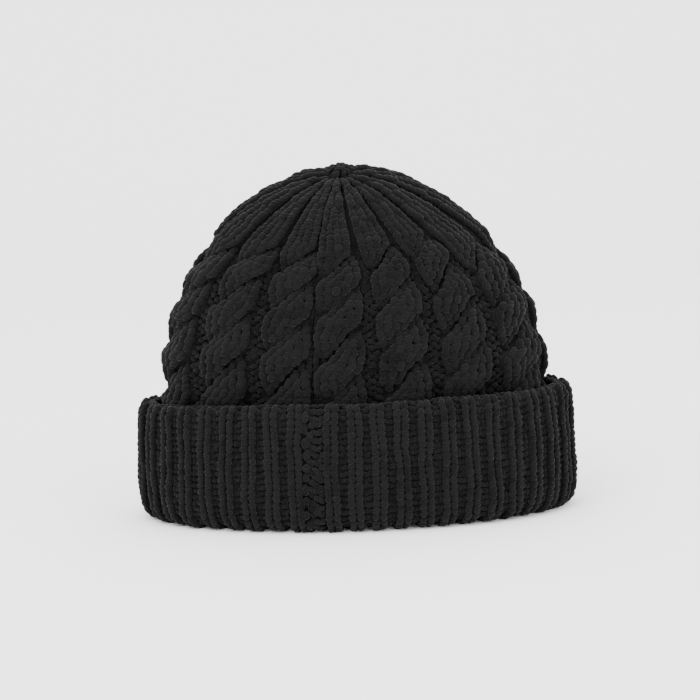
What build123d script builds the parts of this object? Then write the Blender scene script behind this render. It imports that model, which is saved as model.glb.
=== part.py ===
from build123d import *
from math import atan2, degrees, sqrt
import os

# A cable-knit winter hat with a turned-up ribbed cuff, standing on the fold of the cuff.
# Millimetres. +Z points to the crown, X runs along the flattened hat's width, and the
# knitted fabric's back seam is on the -Y side. The origin is the middle of the fold's
# flat underside. Every level section of the hat is an oval.

# Driving dimensions: the cuff
CUFF_HEIGHT = 62.0  # fold to cast-on edge
EDGE_HEIGHT = 4.0  # the firm cast-on edge at the top of the cuff
EDGE_ROUND = 1.8
CUFF_WALL = 5.5  # thickness of the ribbed fabric, with its loft
CUFF_WIDEST = 109.5  # half width of the cuff where it bulges most
CUFF_WIDEST_Z = 15.0
CUFF_TOP = 107.5  # half width at the cast-on edge
CUFF_SWELL = 0.42  # share of that narrowing that is reached half way up the cuff
FOLD_FOOT = 104.5  # half width of the flat underside, outside
FOLD_LIP = 92.0  # half width of the flat underside, inside
FOLD_THICK = 5.0  # thickness of the fold where it turns under the inner band
FOLD_ROUND = 4.0  # height of the rounded foot of the cuff
FOLD_TUCK = 1.2  # the cuff is this much narrower at the top of its rounded foot
FOLD_HOLLOW = 1.0  # and its hollow this much narrower where it meets the fold

# Driving dimensions: the inner band and the crown
BAND_HALF_WIDTH = 95.5
BAND_WALL = 4.5
BAND_CLEARANCE = 0.5  # under the inner band, above the fold
CROWN_HALF_WIDTH = 98.0
CROWN_HALF_DEPTH = 44.0
CROWN_WALL = 7.0  # cable fabric is two yarn layers thick at each crossing
CROWN_START = 54.0  # where the rib changes to cables, behind the cuff
CROWN_SPRING = 60.0  # where the crown starts to curve in
CROWN_TOP = 174.0
WIDTH_POWER = 1.9  # how the crown's half width falls from CROWN_SPRING to CROWN_TOP
DEPTH_POWER = 2.6
CROWN_LEVELS = [0.0, 0.2, 0.4, 0.57, 0.71, 0.82, 0.9, 0.955, 0.985, 0.997]
OVAL_STEP = CROWN_HALF_WIDTH - CROWN_HALF_DEPTH  # half width less half depth, in every oval of the rim

# Driving dimensions: the seam, the gathered top and the label
SEAM_X = -20.5
CROWN_SEAM_WIDTH = 4.0
CROWN_SEAM_TOP = 158.0
CUFF_SEAM_WIDTH = 6.0
GATHER_X = -4.0  # the gathered stitches meet a little towards the seam from the very top
GATHER_Y = -9.0
GATHER_TILT = 16.0  # there the crown's surface leans this many degrees towards -Y
GATHER_HOLE = 3.0
GATHER_RING = 5.5
GATHER_YARN = 1.2
RING_CLEARANCE = 2.0
KNOB_RADIUS = 5.0
KNOB_HEIGHT = 3.2
KNOB_SUNK = 1.5
KNOB_OVERLAP = 0.9
KNOT_RADIUS = 2.4
LABEL_X = 8.0
LABEL_WIDTH = 30.0
LABEL_HEIGHT = 36.0
LABEL_BOTTOM = 13.0
LABEL_THICK = 0.8
LABEL_GAP = 0.2
STITCH_RADIUS = 0.35
STITCH_LENGTH = 1.8
STITCHES_PER_EDGE = 9
STITCH_INSET = 1.5
STITCH_GAP = 0.03  # between a stitch and the face of the label

# Solids that only measure or cut
PROBE_WIDTH = 0.2
CUT_MARGIN = 1.0  # a cut reaches this far past the solid it cuts

os.makedirs("parts", exist_ok=True)


def oval(half_width, height, step=OVAL_STEP):
    """A level oval section. Its half depth is its half width less step."""
    return Pos(0, 0, height) * Ellipse(half_width, half_width - step)


def wall(levels, step=OVAL_STEP):
    """A solid through level ovals given as (height, half width)."""
    return loft([oval(half_width, height, step) for height, half_width in levels])


def upright(half_width, low, high):
    """A straight-sided oval solid."""
    return Pos(0, 0, low) * extrude(Ellipse(half_width, half_width - OVAL_STEP), high - low)


def crown_form(inset):
    """The crown's solid form, drawn in by inset all over."""
    rise = CROWN_TOP - inset - CROWN_SPRING
    half_width = CROWN_HALF_WIDTH - inset
    half_depth = CROWN_HALF_DEPTH - inset
    sections = []
    for level in CROWN_LEVELS:
        width = half_width * sqrt(1 - level**WIDTH_POWER)
        depth = half_depth * sqrt(1 - level**DEPTH_POWER)
        sections.append(Pos(0, 0, CROWN_SPRING + rise * level) * Ellipse(width, depth))
    return loft(sections)


def top_of(form, x, y):
    """The height of a form's upper surface above the point x, y."""
    probe = Pos(x, y, CROWN_TOP) * Box(PROBE_WIDTH, PROBE_WIDTH, CROWN_TOP)
    return (form & probe).bounding_box().max.Z


def seam_slab(width, low, high, x=SEAM_X):
    """The strip of space on the -Y side that the back seam takes up."""
    depth = CUFF_WIDEST
    return Pos(x, -depth / 2, (low + high) / 2) * Box(width, depth, high - low)


def make_crown():
    outer = crown_form(0) + upright(CROWN_HALF_WIDTH, CROWN_START, CROWN_SPRING)
    inner = crown_form(CROWN_WALL) + upright(CROWN_HALF_WIDTH - CROWN_WALL, CROWN_START, CROWN_SPRING)
    return outer - inner


def make_band():
    low = FOLD_THICK + BAND_CLEARANCE
    outer = upright(BAND_HALF_WIDTH, low, CROWN_START)
    inner = upright(BAND_HALF_WIDTH - BAND_WALL, low, CROWN_START)
    return outer - inner


def make_cuff():
    top = CUFF_HEIGHT - EDGE_HEIGHT
    bulge = CUFF_WIDEST - CUFF_TOP
    share = (top - CUFF_WIDEST_Z) / (CUFF_HEIGHT - CUFF_WIDEST_Z)
    middle = (CUFF_WIDEST_Z + top) / 2
    upper = [
        (CUFF_WIDEST_Z, CUFF_WIDEST),
        (middle, CUFF_WIDEST - bulge * share * CUFF_SWELL),
        (top, CUFF_WIDEST - bulge * share),
    ]
    foot = [
        (0, FOLD_FOOT),
        (FOLD_ROUND, CUFF_WIDEST - FOLD_TUCK),
        (CUFF_WIDEST_Z, CUFF_WIDEST),
    ]
    outer = wall(foot) + wall(upper)
    lined = [(FOLD_THICK, CUFF_WIDEST - FOLD_HOLLOW)] + upper
    hollow = wall([(height, half_width - CUFF_WALL) for height, half_width in lined])
    lip = upright(FOLD_LIP, 0, FOLD_THICK)
    return outer - hollow - lip


def make_cast_on_edge():
    low = CUFF_HEIGHT - EDGE_HEIGHT
    outer = upright(CUFF_TOP, low, CUFF_HEIGHT)
    ring = outer - upright(CUFF_TOP - CUFF_WALL, low, CUFF_HEIGHT)
    rims = ring.edges().group_by(Axis.Z)[-1]
    return fillet(rims, EDGE_ROUND)


def make_label():
    """A blank cloth label against the inside of the inner band, beside the seam."""
    outside = BAND_HALF_WIDTH - BAND_WALL - LABEL_GAP
    top = LABEL_BOTTOM + LABEL_HEIGHT
    ring = upright(outside, LABEL_BOTTOM, top) - upright(outside - LABEL_THICK, LABEL_BOTTOM, top)
    window = Pos(LABEL_X, -CROWN_HALF_DEPTH, (LABEL_BOTTOM + top) / 2)
    return ring & window * Box(LABEL_WIDTH, 2 * CROWN_HALF_DEPTH, LABEL_HEIGHT)


def make_label_stitches():
    """Two rows of machine stitches that hold the label by its top and bottom edges."""
    face = BAND_HALF_WIDTH - BAND_WALL - LABEL_GAP - LABEL_THICK - STITCH_RADIUS - STITCH_GAP
    depth = face - OVAL_STEP
    pitch = (LABEL_WIDTH - 2 * STITCH_INSET) / (STITCHES_PER_EDGE - 1)
    rows = [LABEL_BOTTOM + STITCH_INSET, LABEL_BOTTOM + LABEL_HEIGHT - STITCH_INSET]
    stitches = []
    for height in rows:
        for index in range(STITCHES_PER_EDGE):
            x = LABEL_X + (index - (STITCHES_PER_EDGE - 1) / 2) * pitch
            y = -depth * sqrt(1 - (x / face) ** 2)
            turn = degrees(atan2(depth**2 * x, face**2 * -y))
            place = Pos(x, y, height) * Rot(0, 0, turn) * Rot(0, 90, 0)
            stitches.append(place * Cylinder(STITCH_RADIUS, STITCH_LENGTH))
    return Compound(children=stitches)


crown = make_crown()
band = make_band()
cuff = make_cuff()
crown_strip = seam_slab(CROWN_SEAM_WIDTH, 0, CROWN_SEAM_TOP)
cuff_strip = seam_slab(CUFF_SEAM_WIDTH, -CUT_MARGIN, CUFF_HEIGHT - EDGE_HEIGHT)

gather_top = top_of(crown_form(0), GATHER_X, GATHER_Y)
gather = Pos(GATHER_X, GATHER_Y, gather_top) * Rot(GATHER_TILT, 0, 0)
knob_head = gather * Pos(0, 0, -KNOB_SUNK) * scale(Sphere(KNOB_RADIUS), by=(1, 1, KNOB_HEIGHT / KNOB_RADIUS))
neck_length = CROWN_WALL + KNOB_OVERLAP
knob_neck = gather * Pos(0, 0, KNOB_OVERLAP - neck_length / 2) * Cylinder(GATHER_HOLE, neck_length)
inside = gather * Pos(0, 0, -CROWN_WALL - GATHER_YARN - RING_CLEARANCE)

nodes = {
    "crown_shell": crown - crown_strip - gather * Cylinder(GATHER_HOLE, 4 * CROWN_WALL),
    "inner_band": band - crown_strip,
    "crown_back_seam": (crown & crown_strip) + (band & crown_strip),
    "crown_gather_yarn": inside * Torus(GATHER_RING, GATHER_YARN),
    "crown_knob": knob_head - crown_form(0) + knob_neck,
    "tie_off_knot": inside * Sphere(KNOT_RADIUS),
    "care_label": make_label(),
    "label_stitches": make_label_stitches(),
    "turn_up_cuff": cuff - cuff_strip,
    "cuff_back_seam": cuff & cuff_strip,
    "cuff_cast_on_edge": make_cast_on_edge(),
}
for name, shape in nodes.items():
    export_step(shape, f"parts/{name}.step")
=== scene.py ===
import math

import bpy
import numpy as np
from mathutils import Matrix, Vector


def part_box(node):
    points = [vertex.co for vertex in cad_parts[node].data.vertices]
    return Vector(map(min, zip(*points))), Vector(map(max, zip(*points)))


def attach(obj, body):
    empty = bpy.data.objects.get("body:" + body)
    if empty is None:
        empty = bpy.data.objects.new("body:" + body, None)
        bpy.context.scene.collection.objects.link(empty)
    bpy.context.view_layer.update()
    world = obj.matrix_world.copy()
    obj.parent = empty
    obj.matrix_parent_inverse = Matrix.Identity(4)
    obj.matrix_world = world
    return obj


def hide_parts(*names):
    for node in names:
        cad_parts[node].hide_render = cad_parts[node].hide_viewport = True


# A cable-knit hat with a turned-up ribbed cuff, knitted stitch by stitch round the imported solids.
# Sizes are in millimetres and become metres as each mesh is made. A place on a cloth is (turn, run):
# turn goes once round the hat from 0 at the back seam to 1, and run is the length up the cloth.

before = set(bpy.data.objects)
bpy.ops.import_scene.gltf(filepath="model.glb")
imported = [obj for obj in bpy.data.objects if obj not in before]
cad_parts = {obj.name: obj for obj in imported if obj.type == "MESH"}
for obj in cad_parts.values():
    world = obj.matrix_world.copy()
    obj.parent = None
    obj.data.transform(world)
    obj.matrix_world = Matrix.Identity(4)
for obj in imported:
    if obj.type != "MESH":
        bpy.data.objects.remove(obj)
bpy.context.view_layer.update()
MM = 0.001
random = np.random.default_rng(11)


def span(node):
    """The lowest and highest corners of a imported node, in millimetres."""
    low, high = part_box(node)
    return np.array(low) / MM, np.array(high) / MM


# Sizes that come from the frame
crown_low, crown_high = span("crown_shell")
band_low, band_high = span("inner_band")
_, cuff_high = span("turn_up_cuff")
seam_low, seam_high = span("crown_back_seam")
knob_low, knob_high = span("crown_knob")
OVAL_STEP = crown_high[0] - crown_high[1]  # half width less half depth, all round the rim
CROWN_WIDTH, CROWN_DEPTH, CROWN_TOP = crown_high
CROWN_START = crown_low[2]
CROWN_SPRING = CROWN_START + 6.0
SEAM_X = (seam_low[0] + seam_high[0]) / 2
POLE = (knob_low[:2] + knob_high[:2]) / 2

# The knitting
CABLES = 14
RIBS = 45
CROWN_ROW = 3.8
CUFF_ROW = 3.05
CROSSING = 21.4  # length from one cable crossing to the next
MOST_LEGS = 6  # half stitches across a strand where it covers its whole cable
SEAM_LINE = 1.5  # width that the back seam takes from the cables
CHANNEL = 6.2  # width of the purl stitches between two cables
YARN_DEPTH = 5.0  # the crown's yarn stands this far out of its base cloth
UNEVEN = 0.35  # how far hand-handled cloth wanders in and out

# The crown's form
WIDTH_POWER = 1.9  # how its half width falls from the rim to the top
DEPTH_POWER = 2.6
RIM_TUCK = 1.6  # it is drawn in this far behind the cuff
TOP_SLUMP = 2.2  # and its top has settled this far on the +X side

# The cuff's and the band's form
CUFF_DIP = 3.5  # the cuff's top edge is this much lower at the -X end
BAND_DEPTH = 1.9  # the band's base cloth lies this far inside its packed outside
BAND_FOOT = 3.2  # run of the band's lowest row, which stands clear of the fold

# The gathered top
KNOB_SINK = 5.5  # the knob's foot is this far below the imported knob's top
KNOB_RADIUS = 5.0
KNOB_RISE = 3.3
LOOP_TURNS = 9  # turns of yarn round the drawn-up loop


# ---------------------------------------------------------------- small helpers
def smooth(value, low=0.0, high=1.0):
    """0 below low, 1 above high, and an even S between them."""
    share = np.clip((value - low) / (high - low), 0.0, 1.0)
    return share * share * (3 - 2 * share)


def unit(vectors):
    return vectors / np.maximum(np.linalg.norm(vectors, axis=-1, keepdims=True), 1e-9)


def oval_turns(width, depth):
    """Turn and angle tables that space turns evenly round an oval, from the back seam."""
    start = -math.acos(SEAM_X / width)
    angle = start + np.linspace(0.0, 2 * math.pi, 4001)
    x, y = width * np.cos(angle), depth * np.sin(angle)
    steps = np.hypot(np.diff(x), np.diff(y))
    length = np.concatenate([[0.0], np.cumsum(steps)])
    return length / length[-1], angle, length[-1]


def smooth_line(points, count=600):
    """A Catmull-Rom line through the points, as (run, first, second) tables."""
    points = np.array(points, float)
    padded = np.vstack([2 * points[0] - points[1], points, 2 * points[-1] - points[-2]])
    place = np.linspace(0, len(points) - 1, count)
    index = np.minimum(place.astype(int), len(points) - 2)
    t = (place - index)[:, None]
    a, b, c, d = (padded[index + offset] for offset in range(4))
    line = 0.5 * (2 * b + (c - a) * t + (2 * a - 5 * b + 4 * c - d) * t**2 + (3 * b - a - 3 * c + d) * t**3)
    steps = np.linalg.norm(np.diff(line, axis=0), axis=1)
    return np.concatenate([[0.0], np.cumsum(steps)]), line[:, 0], line[:, 1]


def wobble(turn, run, size):
    """A slow, soft unevenness of hand-handled cloth."""
    angle = 2 * math.pi * turn
    slow = np.sin(3 * angle + 0.05 * run + 0.8) + 0.7 * np.sin(7 * angle - 0.09 * run + 2.1)
    quick = 0.5 * np.sin(17 * angle + 0.16 * run) + 0.4 * np.sin(29 * angle - 0.21 * run + 1.3)
    return size * (slow + quick)


# ---------------------------------------------------------------- the three cloths
STITCH_LINE = 3  # the crown's stitches are spaced along an oval this far inside its rim
RIB_LINE = 4  # and the cuff's along one this far inside the cuff's widest place
cuff_width = cuff_high[0] - RIB_LINE
crown_share, crown_angle, CROWN_ROUND = oval_turns(CROWN_WIDTH - STITCH_LINE, CROWN_DEPTH - STITCH_LINE)
cuff_share, cuff_angle, CUFF_ROUND = oval_turns(cuff_width, cuff_width - OVAL_STEP)

CLOTH_WIDTH = CROWN_WIDTH - YARN_DEPTH
CLOTH_DEPTH = CROWN_DEPTH - YARN_DEPTH
CLOTH_RISE = CROWN_TOP - YARN_DEPTH - 0.7 - CROWN_SPRING


def crown_tables():
    """The crown's run, height, half width, half depth and level tables, from the rib to the pole."""
    level = np.linspace(0.0, 0.9995, 900)
    height = CROWN_SPRING + CLOTH_RISE * level
    width = CLOTH_WIDTH * np.sqrt(1 - level**WIDTH_POWER)
    depth = CLOTH_DEPTH * np.sqrt(1 - level**DEPTH_POWER)
    steps = np.hypot(np.diff(height), (np.diff(width) + np.diff(depth)) / 2)
    run = CROWN_SPRING - CROWN_START + np.concatenate([[0.0], np.cumsum(steps)])
    run = np.concatenate([[0.0], run])
    height = np.concatenate([[CROWN_START], height])
    width = np.concatenate([width[:1], width])
    depth = np.concatenate([depth[:1], depth])
    return run, height, width, depth, np.concatenate([[0.0], level])


CROWN = crown_tables()
CROWN_RUN = CROWN[0][-1]


def crown_point(turn, run):
    """A point on the crown's base cloth. The wales meet at a pole that lies off the top, towards the seam."""
    height, width, depth, _ = (np.interp(run, CROWN[0], table) for table in CROWN[1:])
    angle = np.interp(turn % 1.0, crown_share, crown_angle)
    flat = np.stack([width * np.cos(angle) / CLOTH_WIDTH, depth * np.sin(angle) / CLOTH_DEPTH], -1)
    rise = np.sqrt(np.clip(1 - (flat**2).sum(-1), 0.0, 1.0))
    pole = POLE / (CLOTH_WIDTH, CLOTH_DEPTH)
    flat = flat + pole / math.sqrt(1 - (pole**2).sum()) * smooth(rise, 0.35, 1.0)[..., None]
    size = np.sqrt((flat**2).sum(-1) + rise**2)
    x, y, z = flat[..., 0] / size, flat[..., 1] / size, rise / size
    power = (WIDTH_POWER * x**2 + DEPTH_POWER * y**2) / np.maximum(x**2 + y**2, 1e-6)
    raised = CROWN_SPRING + CLOTH_RISE * z ** (2 / np.clip(power, WIDTH_POWER, DEPTH_POWER))
    height = np.where(height < CROWN_SPRING, height, raised)
    tuck = RIM_TUCK * (1 - smooth(height, CROWN_SPRING + 1, CROWN_SPRING + 12))
    slump = TOP_SLUMP * smooth(x, 0.02, 0.5) * smooth(z, 0.3, 0.8)
    return np.stack([(CLOTH_WIDTH - tuck) * x, (CLOTH_DEPTH - tuck) * y, height - slump], -1)


# The cuff's profile, as half width and height: the fold, the outer side and the rolled top edge
FOLD_LINE = [(94.2, 5.6), (94.6, 3.6), (97.5, 2.6), (101.5, 2.7), (104.9, 4.8), (106.7, 9.5)]
SIDE_LINE = [(107.3, 17), (107.0, 28), (106.5, 40), (105.8, 52)]
ROLL_LINE = [(105.3, 57.5), (103.9, 60.4), (101.6, 61.2), (99.8, 60.0)]
CUFF_LINE = smooth_line(FOLD_LINE + SIDE_LINE + ROLL_LINE)
CUFF_RUN = CUFF_LINE[0][-1]
CUFF_EDGE = CUFF_LINE[0][np.argmax(CUFF_LINE[2])]  # where the rib stops, at the rolled top edge


def oval_point(turn, width, height):
    """A point on a level oval like the rim's, of the given half width."""
    angle = np.interp(turn % 1.0, cuff_share, cuff_angle)
    return np.stack([width * np.cos(angle), (width - OVAL_STEP) * np.sin(angle), height], -1)


def cuff_point(turn, run):
    """A point on the cuff's base cloth. Its top edge dips a little at the -X end."""
    width, height = (np.interp(run, CUFF_LINE[0], table) for table in CUFF_LINE[1:])
    point = oval_point(turn, width, height)
    towards_end = smooth(-point[..., 0] / CUFF_LINE[1].max(), 0.35, 1.0)
    point[..., 2] -= CUFF_DIP * towards_end * smooth(height, 10.0, 60.0)
    return point


BAND_OUT = band_high[0] - BAND_DEPTH


def band_point(turn, run):
    """A point on the band's base cloth."""
    return oval_point(turn, BAND_OUT + 0 * run, band_low[2] + 1.0 + run)


def placed(surface, turn, run, lift, unevenness=UNEVEN):
    """Points lifted off a cloth, and the outward directions there."""
    centre = surface(turn, run)
    around = surface(turn + 0.0008, run) - surface(turn - 0.0008, run)
    up = surface(turn, run + 0.3) - surface(turn, run - 0.3)
    outward = unit(np.cross(around, up))
    return centre + outward * (lift + wobble(turn, run, unevenness))[..., None], outward


# ---------------------------------------------------------------- meshes
def quad_mesh(name, points, faces):
    """A mesh of quads only, from points in millimetres."""
    mesh = bpy.data.meshes.new(name)
    mesh.vertices.add(len(points))
    mesh.vertices.foreach_set("co", (points * MM).astype(np.float32).ravel())
    mesh.loops.add(faces.size)
    mesh.loops.foreach_set("vertex_index", faces.astype(np.int32).ravel())
    mesh.polygons.add(len(faces))
    mesh.polygons.foreach_set("loop_start", np.arange(0, faces.size, 4, dtype=np.int32))
    mesh.polygons.foreach_set("use_smooth", np.ones(len(faces), bool))
    mesh.update(calc_edges=True)
    piece = bpy.data.objects.new(name, mesh)
    bpy.context.scene.collection.objects.link(piece)
    return piece


def corner_layer(piece, name, values):
    """A UV layer, from one pair of values for each face corner."""
    layer = piece.data.uv_layers.new(name=name)
    layer.data.foreach_set("uv", values.astype(np.float32).ravel())


def bean_faces(rings, sides):
    """The quads of one closed bean, and each corner's place round and along it."""
    faces, corners = [], []
    for ring in range(rings - 1):
        for side in range(sides):
            after = (side + 1) % sides
            low, high = ring * sides, (ring + 1) * sides
            faces.append((low + side, low + after, high + after, high + side))
            corners += [(side, ring), (side + 1, ring), (side + 1, ring + 1), (side, ring + 1)]
    for ring, flip in ((0, True), (rings - 1, False)):
        for start in range(0, sides // 2 - 1):
            quad = [start, start + 1, sides - 2 - start, sides - 1 - start]
            quad = quad[::-1] if flip else quad
            faces.append(tuple(ring * sides + index for index in quad))
            corners += [(index, ring) for index in quad]
    return np.array(faces), np.array(corners, float) / (sides, rings - 1)


def yarn_piece(name, surface, beans, sides=8, unevenness=UNEVEN):
    """One piece made of many closed beans of yarn. Each bean is a row of turn, run, lift and radius."""
    turn, run, lift, radius = (np.concatenate([bean[key] for bean in beans]) for key in range(4))
    count, rings = turn.shape
    centre, outward = placed(surface, turn, run, lift, unevenness)
    along = unit(np.gradient(centre, axis=1))
    side = unit(np.cross(along, outward))
    up = np.cross(side, along)
    angle = 2 * math.pi * np.arange(sides) / sides
    ring = np.cos(angle)[:, None] * side[:, :, None, :] + 0.88 * np.sin(angle)[:, None] * up[:, :, None, :]
    points = (centre[:, :, None, :] + radius[:, :, None, None] * ring).reshape(-1, 3)
    faces, corners = bean_faces(rings, sides)
    offsets = (np.arange(count) * rings * sides)[:, None, None]
    piece = quad_mesh(name, points, (faces[None] + offsets).reshape(-1, 4))
    cells = math.ceil(math.sqrt(count))
    cell = np.stack([np.arange(count) % cells, np.arange(count) // cells], -1)[:, None, :]
    phase = random.random((count, 1, 1)) * (0, 1)
    corner_layer(piece, "Twist", (corners[None] + phase).reshape(-1, 2))
    corner_layer(piece, "OFBake", ((cell + 0.08 + 0.84 * corners[None]) / cells).reshape(-1, 2))
    tint = piece.data.attributes.new("tint", "FLOAT", "POINT")
    tint.data.foreach_set("value", np.repeat(random.random(count), rings * sides).astype(np.float32))
    return piece


RINGS = 7
PLACE = np.linspace(-0.5, 0.5, RINGS)  # along a bean, from its low end to its high end
ROUND_TAPER = np.sqrt(1 - 0.93 * np.abs(2 * PLACE) ** 2.1)
LONG_TAPER = np.sqrt(1 - 0.9 * np.abs(2 * PLACE) ** 2.8)
ARCH = 1 - (2 * PLACE) ** 2


def jitter(shape, size):
    """Seeded unevenness, spread about 0 by size."""
    return random.normal(0.0, size, shape)


# ---------------------------------------------------------------- crown stitches
CABLE_PITCH = (CROWN_ROUND - SEAM_LINE + CHANNEL) / CABLES


def cable_turn(column):
    """The turn of the middle of a cable. Half numbers are the channels between cables."""
    return ((SEAM_LINE - CHANNEL) / 2 + (column + 0.5) * CABLE_PITCH) / CROWN_ROUND


def local_round(run):
    """The length of the oval round the crown at a run."""
    width, depth = (np.interp(run, CROWN[0], CROWN[key]) for key in (2, 3))
    return math.pi * (3 * (width + depth) - np.sqrt((3 * width + depth) * (width + 3 * depth)))


NARROWING = local_round(CROWN[0]) / local_round(0.0)
travel_steps = np.diff(CROWN[0]) / (CROSSING * (0.8 + 0.2 * NARROWING[1:]))
TRAVEL = np.concatenate([[0.0], np.cumsum(travel_steps)])  # in crossings

# How far up the first crossing of each cable stands, in crossings. Five near the seam are set.
PHASES = 0.55 + random.uniform(-0.2, 0.2, CABLES)
PHASES[[0, 1, 2, -1, -2]] = (0.36, 0.56, 0.86, 0.56, 0.70)
LAST_CROSSINGS = np.floor(5.0 - PHASES + random.uniform(-0.25, 0.25, CABLES)).astype(int)

# The left side of a strand across its cable, which reaches from -2 to 2, against its travel. The
# right side is the same line turned half round about the strand's middle.
SIDE_TRAVEL = (-1.16, -1.02, -0.85, -0.6, -0.36, -0.26, -0.17, -0.06, 0.08, 0.28, 0.48, 0.62, 0.70)
SIDE_PLACE = (-1.2, -1.7, -1.95, -2.05, -2.0, -1.85, -1.45, -0.95, -0.5, 0.05, 0.6, 1.05, 1.4)
STRAND_MIDDLE = -0.23
STRAND_START = -1.14  # travel where a strand comes out from behind the one below
STRAND_END = 0.68  # travel where it has gone behind the one above
FRONT_RISE = 1.9  # how far a strand comes forward of the cable's middle
BACK_RISE = 3.1  # and how far back it goes
CROSSING_WANDER = 0.05  # how unevenly crossings stand, in crossings
ROW_STAGGER = 0.9  # the rows of neighbouring cables don't quite line up
TOP_MARGIN = 2.0  # no stitch starts this near the pole
LEG_WIDTH = 3.4  # the least width of a half stitch in a strand
LEG_SPREAD = 0.7  # and how much wider it is low on the crown
LEG_LENGTH = 5.4
LEG_STRETCH = 1.3  # half stitches are this much longer near the pole
LEG_SLANT = 1.3
LEG_RADII = (1.0, 2.05)  # the least and the most


def narrowing(run):
    """Local width of the crown as a share of its width at the rim."""
    return np.interp(run, CROWN[0], NARROWING)


def local_share(turn, run):
    """The same at one place on the crown, where the moved pole makes it wider or narrower."""
    step = 0.002
    across = crown_point(turn + step, run) - crown_point(turn - step, run)
    return np.linalg.norm(across, axis=-1) / (2 * step * CROWN_ROUND)


def cable_width(run):
    """Width of a cable, as it would be at the rim. Towards the pole the channels close."""
    return CABLE_PITCH - CHANNEL * smooth(narrowing(run), 0.55, 0.97)


def strand_travel(run, phase, number, last):
    """Travel of a place on a strand. Above its last crossing a cable stays wide all the way up."""
    wander = CROSSING_WANDER * np.sin(9 * phase + 2.3 * number)
    travel = np.interp(run, CROWN[0], TRAVEL) - phase - number - wander
    return np.where(np.equal(number, last), np.minimum(travel, STRAND_MIDDLE - 0.07), travel)


def strand_sides(travel):
    """The left and right sides of a strand across its cable."""
    left = np.interp(travel, SIDE_TRAVEL, SIDE_PLACE)
    right = -np.interp(2 * STRAND_MIDDLE - travel, SIDE_TRAVEL, SIDE_PLACE)
    return left, np.maximum(right, left + 0.1)


def strand_lift(run, travel, across):
    """Lift of a strand. across goes from -1 at its left side to 1 at its right side."""
    height = np.cos(math.pi * np.clip((travel - STRAND_MIDDLE) / 0.96, -1, 1))
    rise = np.where(height > 0, FRONT_RISE, BACK_RISE) * height
    plain = (1 - smooth(narrowing(run), 0.45, 0.8)) * smooth(narrowing(run), 0.2, 0.5)
    doming = (2.2 - 0.7 * plain) * np.abs(across) ** 2.8
    return (rise - doming) * (0.45 + 0.55 * narrowing(run))


ROWS = np.arange(1.0, CROWN_RUN - 1.0, CROWN_ROW)


def leg_beans(centre, run, lift, slant, radius, length):
    """Half stitches standing along the wales. centre and run are arrays of one value for each leg."""
    turn = centre + slant[:, None] * PLACE / CROWN_ROUND
    runs = run[:, None] + length[:, None] * PLACE
    lifts = lift + 0.45 * ARCH - 0.35 * PLACE
    return turn, runs, lifts, radius * LONG_TAPER


def strand_beans(column, number):
    """The stitches of one strand, from where it comes forward to where it goes behind."""
    beans = []
    last = LAST_CROSSINGS[column]
    for low in ROWS:
        run = low + ROW_STAGGER * math.sin(2.4 * column)
        travel = strand_travel(run, PHASES[column], number, last)
        if not STRAND_START < travel < STRAND_END or run > CROWN_RUN - TOP_MARGIN:
            continue
        shrink, width = narrowing(run), cable_width(run)
        local = width / 4 * local_share(cable_turn(column), run)  # a quarter of the cable's width here
        low_side, high_side = strand_sides(travel)
        spread = local * (high_side - low_side)
        leg_width = LEG_WIDTH + LEG_SPREAD * smooth(shrink, 0.6, 0.9)
        legs = int(np.clip(round(spread / leg_width), 1, MOST_LEGS))
        runs = run + jitter(legs, 0.16)
        length = LEG_LENGTH + LEG_STRETCH * (1 - smooth(shrink, 0.38, 0.6)) + jitter(legs, 0.2)
        along = runs[:, None] + length[:, None] * PLACE
        travels = strand_travel(along, PHASES[column], number, last)
        left, right = strand_sides(travels)
        share = (np.arange(legs)[:, None] + 0.5) / legs
        closed = 0.98 - 0.03 * smooth(shrink, 0.5, 0.8)  # leaves a crease beside the next strand
        across = (2 * share - 1) * closed
        middle = (left + right) / 2 + across * (right - left) / 2
        spacing = local * (right - left)[:, 3:4] / legs
        radius = np.clip(0.15 + spacing * 0.5, *LEG_RADII) * (1 + jitter((legs, 1), 0.05))
        lift = strand_lift(along, travels, across) + radius * 0.75 + jitter((legs, 1), 0.12)
        handed = np.where(np.arange(legs) % 2 == 0, -1.0, 1.0)
        centre = cable_turn(column) + (middle * width / 4 + jitter((legs, 1), 0.12)) / CROWN_ROUND
        slant = handed * (LEG_SLANT + jitter(legs, 0.15))
        beans.append(leg_beans(centre, runs, lift, slant, radius, length))
    return beans


def cable_beans(column):
    """The stitches of one cable, strand by strand."""
    beans = []
    for number in range(-1, LAST_CROSSINGS[column] + 1):
        beans += strand_beans(column, number)
    return beans


def purl_beans(centre, run, lift, width, radius, round_length):
    """Purl bumps, which lie across the cloth. centre and run hold one value for each bump."""
    count = len(run)
    turn = centre[:, None] + width * PLACE / round_length
    runs = run[:, None] + 0.8 * ARCH + jitter((count, 1), 0.8) * PLACE
    lifts = lift + 0.8 * ARCH + jitter((count, 1), 0.1)
    return turn, runs, lifts, radius * (1 + jitter((count, 1), 0.09)) * ROUND_TAPER


def channel_beans(channel):
    """The recessed purl stitches between two cables."""
    rows = np.arange(1.0, CROWN_RUN * 0.62, CROWN_ROW)
    closing = smooth(narrowing(rows), 0.55, 0.97)
    beans = []
    for side in (-1, 0, 1):
        centre = cable_turn(channel - 0.5) + (side * 2.9 * closing + jitter(len(rows), 0.3)) / CROWN_ROUND
        run = rows + (side % 2) * CROWN_ROW / 2 + jitter(len(rows), 0.35)
        lift = (-1.9 - 0.3 * abs(side) - 0.8 * (1 - closing) + jitter(len(rows), 0.2))[:, None]
        beans.append(purl_beans(centre, run, lift, 4.4, 1.3, CROWN_ROUND))
    return beans


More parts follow.
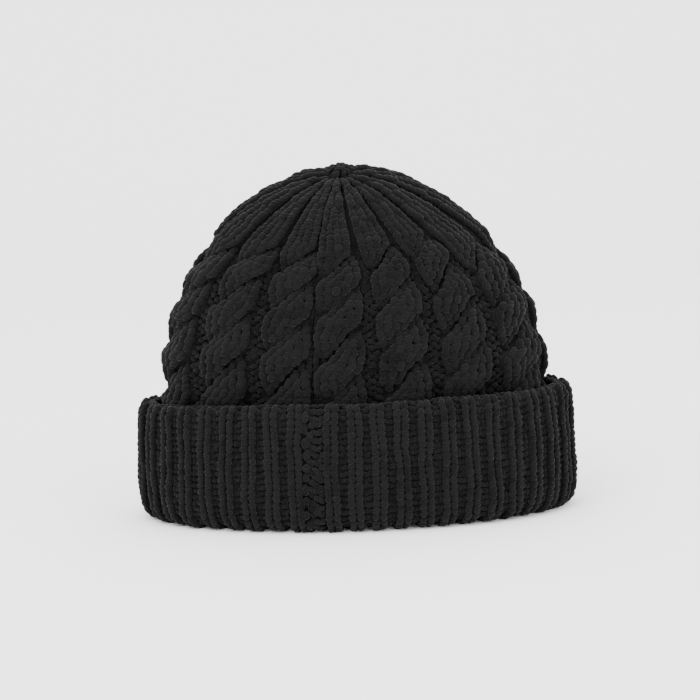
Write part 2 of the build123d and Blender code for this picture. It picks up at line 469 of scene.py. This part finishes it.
def crown_seam_beans():
    """A selvedge wale each side of the thin back seam."""
    rows = np.arange(1.0, CROWN_RUN - 14, CROWN_ROW)
    shrink = narrowing(rows)
    beans = []
    for side in (-1, 1):
        centre = side * (1.7 + jitter(len(rows), 0.12)) / CROWN_ROUND
        run = rows + jitter(len(rows), 0.2)
        slant = side * (1.0 + jitter(len(rows), 0.2))
        radius = np.minimum(1.35, 0.15 + 1.5 * shrink)[:, None]
        lift = (-1.5 + jitter(len(rows), 0.15))[:, None]
        beans.append(leg_beans(centre[:, None], run, lift, slant, radius, 5.0 + jitter(len(rows), 0.3)))
    return beans


# ---------------------------------------------------------------- rib stitches
SEAM_GAP = 6.0  # width of the back seam across the rib
RIB_PITCH = (CUFF_ROUND - SEAM_GAP) / RIBS
LEG_PLACE = 1.88  # from the middle of a raised wale to the middle of each of its two legs
PURL_DROP = 2.35  # the purl bumps lie this far below the legs


def rib_turn(rib, offset):
    """The turn of a place offset millimetres from the middle of a rib's raised wale."""
    return (SEAM_GAP / 2 + (rib + 0.5) * RIB_PITCH + offset) / CUFF_ROUND


def rib_beans(rows, upside_down, leg_radius=1.74, lift=0.6):
    """Raised knit wales of two legs each, and the purl bumps between them."""
    beans = []
    count = len(rows)
    for rib in range(RIBS):
        drift = 0.35 * np.sin(rows * 0.11 + rib * 1.7) + 0.2 * np.sin(rows * 0.29 + rib * 2.9)
        for handed in (-1, 1):
            lean = -handed if upside_down else handed
            offset = handed * LEG_PLACE + drift + jitter(count, 0.12)
            slant = lean * (0.9 + jitter((count, 1), 0.25))
            turn = rib_turn(rib, offset)[:, None] + slant * PLACE / CUFF_ROUND
            run = (rows + jitter(count, 0.14))[:, None] + CUFF_ROW * (1.2 + jitter((count, 1), 0.05)) * PLACE
            lifts = lift + 0.5 * ARCH + 0.25 * PLACE + jitter((count, 1), 0.12)
            radius = leg_radius * (1 + jitter((count, 1), 0.05)) * LONG_TAPER
            beans.append((turn, run, lifts, radius))
        if rib < RIBS - 1:
            for side in (-1, 1):
                centre = rib_turn(rib, RIB_PITCH / 2 + 1.15 * side + drift + jitter(count, 0.15))
                run = rows + CUFF_ROW / 2 * side + jitter(count, 0.3)
                uneven = lift - PURL_DROP + jitter((count, 1), 0.2)
                beans.append(purl_beans(centre, run, uneven, 2.9, 1.3, CUFF_ROUND))
    return beans


def rib_seam_beans(top):
    """The back seam across the rib: a column of big stitches, and slanting ones pulled in beside it."""
    beans = []
    columns = (  # place, row spacing, reach round, reach up, radius, lift
        (-3.5, 5.7, 0.5, 5.2, 1.75, 0.2),
        (-1.1, 3.3, 3.2, -2.6, 1.4, -0.5),
        (1.3, 3.5, 3.6, -2.2, 1.45, -0.2),
        (3.6, 3.3, 2.4, 1.7, 1.4, -0.5),
    )
    for place, spacing, across, up, radius, lift in columns:
        rows = np.arange(2.0, top - 1.0, spacing)
        count = len(rows)
        turn = (place + jitter((count, 1), 0.35) + (across + jitter((count, 1), 0.7)) * PLACE) / CUFF_ROUND
        run = (rows + jitter(count, 0.5))[:, None] + (up + jitter((count, 1), 0.7)) * PLACE
        lifts = lift + 0.7 * ARCH + jitter((count, 1), 0.3) + 0 * turn
        beans.append((turn, run, lifts, radius * (1 + jitter((count, 1), 0.1)) * ROUND_TAPER))
    return beans


def edge_beans():
    """The cast-on edge: slanting turns of yarn along the rolled top of the cuff."""
    count = 3 * RIBS
    turn = np.arange(count)[:, None] / count + jitter((count, 1), 0.0002) + 4.8 * PLACE / CUFF_ROUND
    run = CUFF_EDGE + 1.7 + jitter((count, 1), 0.15) + 1.2 * PLACE
    lifts = 0.1 + 0.5 * ARCH + jitter((count, 1), 0.12) + 0 * turn
    return [(turn, run + 0 * turn, lifts, 1.4 * ROUND_TAPER + 0 * turn)]


# ---------------------------------------------------------------- base cloths
def shell_piece(name, surface, runs, columns, outer_lift, inner_lift):
    """A closed shell of cloth between two lifts, from the lowest run to the highest."""
    grid_turn, grid_run = np.meshgrid(np.arange(columns) / columns, runs)
    outer, _ = placed(surface, grid_turn, grid_run, outer_lift(grid_turn, grid_run))
    inner, _ = placed(surface, grid_turn, grid_run, inner_lift(grid_turn, grid_run))
    rows = len(runs)
    points = np.concatenate([outer, inner[::-1]]).reshape(-1, 3)
    index = np.arange(2 * rows * columns).reshape(2 * rows, columns)
    after = np.roll(index, -1, axis=1)
    faces = [np.stack([index[:-1], after[:-1], after[1:], index[1:]], -1).reshape(-1, 4)]
    faces.append(np.stack([index[-1], after[-1], after[0], index[0]], -1))
    return quad_mesh(name, points, np.concatenate(faces))


def crown_cloth_lift(turn, run):
    """The fabric behind the stitches: just under each strand, and low in the channels."""
    place = (turn * CROWN_ROUND - (SEAM_LINE - CHANNEL) / 2) / CABLE_PITCH
    column = np.clip(np.floor(place), 0, CABLES - 1).astype(int)
    middle = (place - column - 0.5) * CABLE_PITCH / (cable_width(run) / 4)
    lift = -2.9 + 1.7 * (1 - smooth(narrowing(run), 0.5, 0.85))
    for number in range(-1, LAST_CROSSINGS.max() + 1):
        travel = strand_travel(run, PHASES[column], number, LAST_CROSSINGS[column])
        left, right = strand_sides(travel)
        across = (2 * middle - left - right) / np.maximum(right - left, 0.05)
        inside = (np.abs(across) < 1) & (travel > STRAND_START) & (number <= LAST_CROSSINGS[column])
        lift = np.where(inside, np.maximum(lift, strand_lift(run, travel, across) - 0.9 * across**4), lift)
    return lift


def crown_inside_lift(turn, run):
    """The back of the cables: a hollow behind each, and a ridge behind each channel."""
    place = (turn * CROWN_ROUND - (SEAM_LINE - CHANNEL) / 2) / CABLE_PITCH
    return -6.0 - 0.9 * np.cos(2 * math.pi * place) * narrowing(run)


def rib_wave(turn, run):
    """1 at the middle of each raised wale and 0 at the middle of each purl wale."""
    place = ((turn * CUFF_ROUND - SEAM_GAP / 2) / RIB_PITCH) % 1.0
    return 0.5 + 0.5 * np.cos(2 * math.pi * (place - 0.5)) + 0 * run


def rib_cloth_lift(turn, run):
    """The outer face of the rib's base cloth, which stands up under each raised wale."""
    return -1.8 + 2.2 * rib_wave(turn, run)


def rib_inside_lift(turn, run):
    """The inner face of the rib's base cloth."""
    return -4.0 + 0.9 * rib_wave(turn, run)


# ---------------------------------------------------------------- the gathered top and the label
def pole_directions():
    """Up, and two directions square to it, where the crown's wales meet."""
    x, y = POLE / (CLOTH_WIDTH, CLOTH_DEPTH)
    level = (1 - abs(y) ** DEPTH_POWER) ** (1 / WIDTH_POWER)
    slope_x = WIDTH_POWER * x * abs(x) ** (WIDTH_POWER - 2) / CLOTH_WIDTH
    slope_y = DEPTH_POWER * y * abs(y) ** (DEPTH_POWER - 2) / CLOTH_DEPTH
    up = unit(np.array([slope_x, slope_y, WIDTH_POWER * level ** (WIDTH_POWER - 1) / CLOTH_RISE]))
    across = unit(np.cross((0.0, 1.0, 0.0), up))
    return up, across, np.cross(up, across)


POLE_UP, POLE_ACROSS, POLE_AWAY = pole_directions()


def dome_surface(centre, radius, height):
    """A small dome about the pole's direction. Its run goes from 0 at the foot to 6 at the tip."""
    def point(turn, run):
        angle, slope = 2 * math.pi * turn[..., None], run[..., None] / 6 * math.pi / 2
        level = np.cos(angle) * POLE_ACROSS + np.sin(angle) * POLE_AWAY
        return centre + radius * np.cos(slope) * level + height * np.sin(slope) * POLE_UP
    return point


def ring_surface(centre, radius):
    """A ring square to the pole's direction. Its run goes up along that direction."""
    def point(turn, run):
        angle = 2 * math.pi * turn[..., None]
        level = np.cos(angle) * POLE_ACROSS + np.sin(angle) * POLE_AWAY
        return centre + radius * level + run[..., None] * POLE_UP
    return point


def tuft_beans(count, middle, length, twist, radius):
    """Turns of yarn set round a dome like the segments of a fruit."""
    turn = np.arange(count)[:, None] / count + jitter((count, 1), 0.015) + twist * PLACE
    run = middle + length * PLACE + jitter((count, 1), 0.12)
    lifts = 0.5 * ARCH + jitter((count, 1), 0.15) + 0 * PLACE
    return turn, run, lifts, radius * (1 + jitter((count, 1), 0.06)) * ROUND_TAPER


label_low, label_high = span("care_label")
label_depth = -label_low[1] - 0.4


def label_point(turn, run):
    """A point on the label's face. turn is in metres along X, and run is a height in millimetres."""
    x = turn / MM
    width = label_depth + OVAL_STEP
    return np.stack([x, -label_depth * np.sqrt(1 - (x / width) ** 2), run + 0 * x], -1)


# ---------------------------------------------------------------- materials
def node(tree, kind, **inputs):
    """A new shader node, with its inputs set by name."""
    made = tree.nodes.new(kind)
    for name, value in inputs.items():
        made.inputs[name.replace("_", " ")].default_value = value
    return made


def yarn_material(name, dark, light, twist=1.0):
    """Fuzzy wool: plies that spiral along each strand, fine fibres, and stitch-to-stitch tone."""
    material = bpy.data.materials.new(name)
    material.use_nodes = True
    tree = material.node_tree
    shader = tree.nodes["Principled BSDF"]
    shader.inputs["Roughness"].default_value = 0.95
    shader.inputs["Specular IOR Level"].default_value = 0.07
    shader.inputs["Sheen Weight"].default_value = 0.04
    shader.inputs["Sheen Roughness"].default_value = 0.45
    link = tree.links.new
    coordinates = tree.nodes.new("ShaderNodeTexCoord")
    tint = tree.nodes.new("ShaderNodeAttribute")
    tint.attribute_name = "tint"
    patches = node(tree, "ShaderNodeTexNoise", Scale=60.0, Detail=3.0)
    fibres = node(tree, "ShaderNodeTexNoise", Scale=1900.0, Detail=5.0, Roughness=0.7)
    link(coordinates.outputs["Object"], patches.inputs["Vector"])
    link(coordinates.outputs["Object"], fibres.inputs["Vector"])
    blend = tree.nodes.new("ShaderNodeMath")
    blend.operation = "MULTIPLY_ADD"
    blend.inputs[1].default_value = 0.45
    link(tint.outputs["Fac"], blend.inputs[0])
    link(patches.outputs["Fac"], blend.inputs[2])
    spread = tree.nodes.new("ShaderNodeMath")
    spread.operation = "MULTIPLY_ADD"
    spread.inputs[1].default_value = 0.5
    link(fibres.outputs["Fac"], spread.inputs[0])
    link(blend.outputs[0], spread.inputs[2])
    ramp = tree.nodes.new("ShaderNodeValToRGB")
    ramp.color_ramp.elements[0].position = 0.55
    ramp.color_ramp.elements[0].color = (*dark, 1)
    ramp.color_ramp.elements[1].position = 1.0
    ramp.color_ramp.elements[1].color = (*light, 1)
    link(spread.outputs[0], ramp.inputs["Fac"])
    link(ramp.outputs["Color"], shader.inputs["Base Color"])
    plies = tree.nodes.new("ShaderNodeUVMap")
    plies.uv_map = "Twist"
    wave = node(tree, "ShaderNodeTexWave", Scale=0.3183, Distortion=1.2, Detail=2.0)
    turned = tree.nodes.new("ShaderNodeMapping")
    turned.inputs["Scale"].default_value = (6.0, 7.0, 1.0)
    link(plies.outputs["UV"], turned.inputs["Vector"])
    wave.wave_type = "BANDS"
    wave.bands_direction = "DIAGONAL"
    link(turned.outputs["Vector"], wave.inputs["Vector"])
    ply_bump = node(tree, "ShaderNodeBump", Strength=0.5 * twist, Distance=0.0006)
    fibre_bump = node(tree, "ShaderNodeBump", Strength=0.45, Distance=0.0004)
    link(wave.outputs["Fac"], ply_bump.inputs["Height"])
    link(fibres.outputs["Fac"], fibre_bump.inputs["Height"])
    link(ply_bump.outputs["Normal"], fibre_bump.inputs["Normal"])
    link(fibre_bump.outputs["Normal"], shader.inputs["Normal"])
    return material


def woven_material(name, dark, light):
    """A fine ribbon weave: threads both ways, for the label."""
    material = bpy.data.materials.new(name)
    material.use_nodes = True
    tree = material.node_tree
    shader = tree.nodes["Principled BSDF"]
    shader.inputs["Roughness"].default_value = 0.7
    shader.inputs["Specular IOR Level"].default_value = 0.2
    link = tree.links.new
    coordinates = tree.nodes.new("ShaderNodeTexCoord")
    weave = tree.nodes.new("ShaderNodeMath")
    weave.operation = "MULTIPLY"
    for index, direction in enumerate(("X", "Z")):
        threads = node(tree, "ShaderNodeTexWave", Scale=700.0, Distortion=0.4, Detail=2.0)
        threads.bands_direction = direction
        link(coordinates.outputs["Object"], threads.inputs["Vector"])
        link(threads.outputs["Fac"], weave.inputs[index])
    ramp = tree.nodes.new("ShaderNodeValToRGB")
    ramp.color_ramp.elements[0].color = (*dark, 1)
    ramp.color_ramp.elements[1].color = (*light, 1)
    link(weave.outputs[0], ramp.inputs["Fac"])
    link(ramp.outputs["Color"], shader.inputs["Base Color"])
    bump = node(tree, "ShaderNodeBump", Strength=0.5, Distance=0.0002)
    link(weave.outputs[0], bump.inputs["Height"])
    link(bump.outputs["Normal"], shader.inputs["Normal"])
    return material


def plain_material(name, colour, roughness=1.0):
    material = bpy.data.materials.new(name)
    material.use_nodes = True
    shader = material.node_tree.nodes["Principled BSDF"]
    shader.inputs["Base Color"].default_value = (*colour, 1)
    shader.inputs["Roughness"].default_value = roughness
    shader.inputs["Specular IOR Level"].default_value = 0.1
    return material


# ---------------------------------------------------------------- build
crown_yarn = yarn_material("crown_yarn", (0.0024, 0.0023, 0.0024), (0.0052, 0.0050, 0.0052))
rib_yarn = yarn_material("rib_yarn", (0.0026, 0.0025, 0.0027), (0.0056, 0.0054, 0.0057))
# The base cloth is the same wool as the yarn, but its colour is painted about twice as light: painted light
# that lifts the shade in the creases and channels behind the stitches.
base_cloth_painted_light = yarn_material("base_cloth_painted_light", (0.0060, 0.0058, 0.0060), (0.0100, 0.0097, 0.0100), 0.0)
label_thread = yarn_material("label_thread", (0.02, 0.02, 0.021), (0.06, 0.06, 0.062))


def finished(piece, material, body, slot, *replaced):
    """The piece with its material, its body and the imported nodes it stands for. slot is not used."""
    piece.data.materials.append(material)
    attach(piece, body)
    if replaced:
        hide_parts(*replaced)
    return piece


def make_crown():
    """The crown's base cloth, its cables and channels two columns to a piece, and its seam."""
    yarn = []
    for part in range(CABLES // 2):
        beans = []
        for column in (2 * part, 2 * part + 1):
            beans += cable_beans(column)
            if column:
                beans += channel_beans(column)
        piece = yarn_piece(f"crown_stitches_{part + 1}", crown_point, beans)
        yarn.append(finished(piece, crown_yarn, "hat", "cable_knit_wool"))
    seam = yarn_piece("crown_seam_yarn", crown_point, crown_seam_beans())
    finished(seam, crown_yarn, "hat", "seam_yarn", "crown_back_seam")
    runs = np.linspace(0.0, CROWN_RUN - 0.2, 150)
    base = shell_piece("crown_cloth", crown_point, runs, CABLES * 28, crown_cloth_lift, crown_inside_lift)
    finished(base, base_cloth_painted_light, "hat", "cable_knit_wool", "crown_shell")
    return base, yarn + [seam]


def make_cuff():
    """The cuff's base cloth, its ribs in two pieces, its seam and its cast-on edge."""
    rows = np.arange(2.0, CUFF_EDGE, CUFF_ROW)
    beans = rib_beans(rows, upside_down=True)
    half = len(beans) // 2
    yarn = []
    for part, group in enumerate((beans[:half], beans[half:])):
        piece = yarn_piece(f"cuff_stitches_{part + 1}", cuff_point, group)
        yarn.append(finished(piece, rib_yarn, "cuff", "rib_knit_wool"))
    seam = yarn_piece("cuff_seam_yarn", cuff_point, rib_seam_beans(CUFF_EDGE))
    finished(seam, rib_yarn, "cuff", "seam_yarn", "cuff_back_seam")
    edge = yarn_piece("cuff_edge_yarn", cuff_point, edge_beans())
    finished(edge, rib_yarn, "cuff", "rib_knit_wool", "cuff_cast_on_edge")
    runs = np.linspace(0.0, CUFF_RUN, 60)
    base = shell_piece("cuff_cloth", cuff_point, runs, RIBS * 10, rib_cloth_lift, rib_inside_lift)
    finished(base, base_cloth_painted_light, "cuff", "rib_knit_wool", "turn_up_cuff")
    return base, yarn + [seam, edge]


def make_band():
    """The inner band's base cloth, its ribs and its seam."""
    height = band_high[2] - band_low[2]
    rows = np.arange(BAND_FOOT, height - 2.0, CUFF_ROW)
    beans = rib_beans(rows, upside_down=False, leg_radius=1.4, lift=0.2)
    yarn = yarn_piece("band_stitches", band_point, beans, sides=6)
    finished(yarn, rib_yarn, "hat", "rib_knit_wool")
    seam = yarn_piece("band_seam_yarn", band_point, rib_seam_beans(height - 1.0), sides=6)
    finished(seam, rib_yarn, "hat", "seam_yarn")
    runs = np.linspace(0.0, height - 1.0, 24)
    base = shell_piece("band_cloth", band_point, runs, RIBS * 8, rib_cloth_lift, rib_inside_lift)
    finished(base, base_cloth_painted_light, "hat", "rib_knit_wool", "inner_band")
    return base, [yarn, seam]


def make_gathered_top():
    """The knob outside, and the drawn-up yarn and its knot inside."""
    foot = np.array([*POLE, knob_high[2]]) - KNOB_SINK * POLE_UP
    tiers = (  # count, middle, length, twist, radius
        (11, 1.2, 3.6, 0.05, 1.35),
        (7, 3.4, 3.0, 0.08, 1.3),
        (4, 5.0, 2.4, 0.15, 1.1),
    )
    beans = [tuft_beans(*tier) for tier in tiers]
    knob = yarn_piece("gathered_knob", dome_surface(foot, KNOB_RADIUS, KNOB_RISE), beans, unevenness=0.0)
    finished(knob, crown_yarn, "hat", "cable_knit_wool", "crown_knob")
    ring_low, ring_high = span("crown_gather_yarn")
    centre = (ring_low + ring_high) / 2
    turn = np.arange(LOOP_TURNS)[:, None] / LOOP_TURNS + 1.35 / LOOP_TURNS * PLACE
    loop = (turn, jitter((LOOP_TURNS, 1), 0.25) + 0.4 * PLACE, 0 * turn, 1.15 * LONG_TAPER + 0 * turn)
    ring_radius = (ring_high[0] - ring_low[0]) / 2 - 1.2
    ring = yarn_piece("gather_loop", ring_surface(centre, ring_radius), [loop], unevenness=0.0)
    finished(ring, crown_yarn, "hat", "seam_yarn", "crown_gather_yarn")
    beans = [tuft_beans(4, 1.5, 5.0, 0.4, 0.95), tuft_beans(3, 3.0, 4.0, -0.5, 0.9)]
    knot = yarn_piece("fastening_knot", dome_surface(centre - 1.2 * POLE_UP, 1.6, 2.4), beans, unevenness=0.0)
    finished(knot, crown_yarn, "hat", "seam_yarn", "tie_off_knot")


def make_label():
    """A blank woven label with turned-in ends, and its two rows of stitches."""
    columns, rows = 31, 37
    x = np.linspace(label_low[0], label_high[0], columns) * MM
    height = np.linspace(label_low[2], label_high[2], rows)
    turn, run = np.meshgrid(x, height)
    from_end = np.minimum(run - label_low[2], label_high[2] - run)
    thick = 0.22 + 0.14 * (1 - smooth(from_end, 2.6, 3.4))
    sag = 0.1 * np.sin(turn / MM * 0.35) * smooth(from_end, 0.0, 8.0)
    front, _ = placed(label_point, turn, run, sag + thick, 0.0)
    back, _ = placed(label_point, turn, run, sag - thick, 0.0)
    index = np.arange(rows * columns).reshape(rows, columns)
    grid = np.stack([index[:-1, :-1], index[:-1, 1:], index[1:, 1:], index[1:, :-1]], -1).reshape(-1, 4)
    loop = np.concatenate([index[0, :-1], index[:-1, -1], index[-1, :0:-1], index[:0:-1, 0]])
    after = np.roll(loop, -1)
    other = rows * columns
    rim = np.stack([loop + other, after + other, after, loop], -1)
    points = np.concatenate([front, back]).reshape(-1, 3)
    label = quad_mesh("woven_label", points, np.concatenate([grid, grid[:, ::-1] + other, rim]))
    weave = woven_material("label_weave", (0.016, 0.016, 0.017), (0.05, 0.05, 0.052))
    finished(label, weave, "hat", "label_cloth", "care_label")
    stitch_low, stitch_high = span("label_stitches")
    beans = []
    places = np.linspace(stitch_low[0] + 0.9, stitch_high[0] - 0.9, 9) * MM
    for height in (stitch_low[2] + 0.35, stitch_high[2] - 0.35):
        beans.append(purl_beans(places, np.full(9, height - 0.4), -1.3, 1.9, 0.3, 1000.0))
    thread = yarn_piece("label_thread", label_point, beans, unevenness=0.0)
    finished(thread, label_thread, "hat", "label_thread", "label_stitches")
    return label, thread


# ---------------------------------------------------------------- stage
def make_stage():
    """A pale floor that curves up into a wall behind the hat."""
    pale = plain_material("pale_floor", (0.88, 0.88, 0.87))
    size = 4000.0
    turn_at = 900.0  # how far behind the hat the floor starts to rise
    radius = 700.0
    steps = 24
    line = [(-size, 0.0), (turn_at, 0.0)]
    for step in range(1, steps + 1):
        angle = math.pi / 2 * step / steps
        line.append((turn_at + radius * math.sin(angle), radius * (1 - math.cos(angle))))
    line.append((turn_at + radius, size))
    points = np.array([(x, y, z) for x in (-size, size) for y, z in line])
    count = len(line)
    faces = np.array([(i, i + 1, count + i + 1, count + i) for i in range(count - 1)])
    floor = quad_mesh("floor", points, faces[:, ::-1])
    floor.data.materials.append(pale)


def area_light(name, place, aim, size, power):
    """A round soft light. Places and sizes are in metres."""
    data = bpy.data.lights.new(name, "AREA")
    data.shape = "DISK"
    data.size = size
    data.energy = power
    light = bpy.data.objects.new(name, data)
    bpy.context.scene.collection.objects.link(light)
    light.location = place
    direction = np.array(aim) - np.array(place)
    light.rotation_euler = Vector(direction).to_track_quat("-Z", "Y").to_euler()


def make_lights():
    """A bright even sky, and three soft lights."""
    world = bpy.data.worlds.new("studio")
    bpy.context.scene.world = world
    world.use_nodes = True
    world.node_tree.nodes["Background"].inputs["Color"].default_value = (1, 1, 1, 1)
    world.node_tree.nodes["Background"].inputs["Strength"].default_value = 3.0
    area_light("key", (-0.7, -1.1, 1.5), (0, 0, 0.08), 1.2, 30)
    area_light("fill", (1.2, -1.2, 0.9), (0, 0, 0.08), 1.4, 12)
    area_light("top", (0.1, 0.3, 1.8), (0, 0, 0.1), 1.4, 12)


def make_camera():
    """A long lens a little above the crown, rolled as much as the hat leans."""
    data = bpy.data.cameras.new("camera")
    data.sensor_width = 36.0
    data.lens = 108.2
    camera = bpy.data.objects.new("camera", data)
    bpy.context.scene.collection.objects.link(camera)
    camera.location = (-0.001, -1.03, 0.240)
    aim = Vector((-0.0015, 0.0, 0.0805))
    look = (aim - camera.location).to_track_quat("-Z", "Y")
    roll = Matrix.Rotation(math.radians(-1.9), 4, "Z")
    camera.rotation_euler = (look.to_matrix().to_4x4() @ roll).to_euler()
    bpy.context.scene.camera = camera


make_camera()
make_lights()
make_stage()
crown_base, crown_pieces = make_crown()
cuff_base, cuff_pieces = make_cuff()
band_base, band_pieces = make_band()
make_gathered_top()
label, label_pieces = make_label()
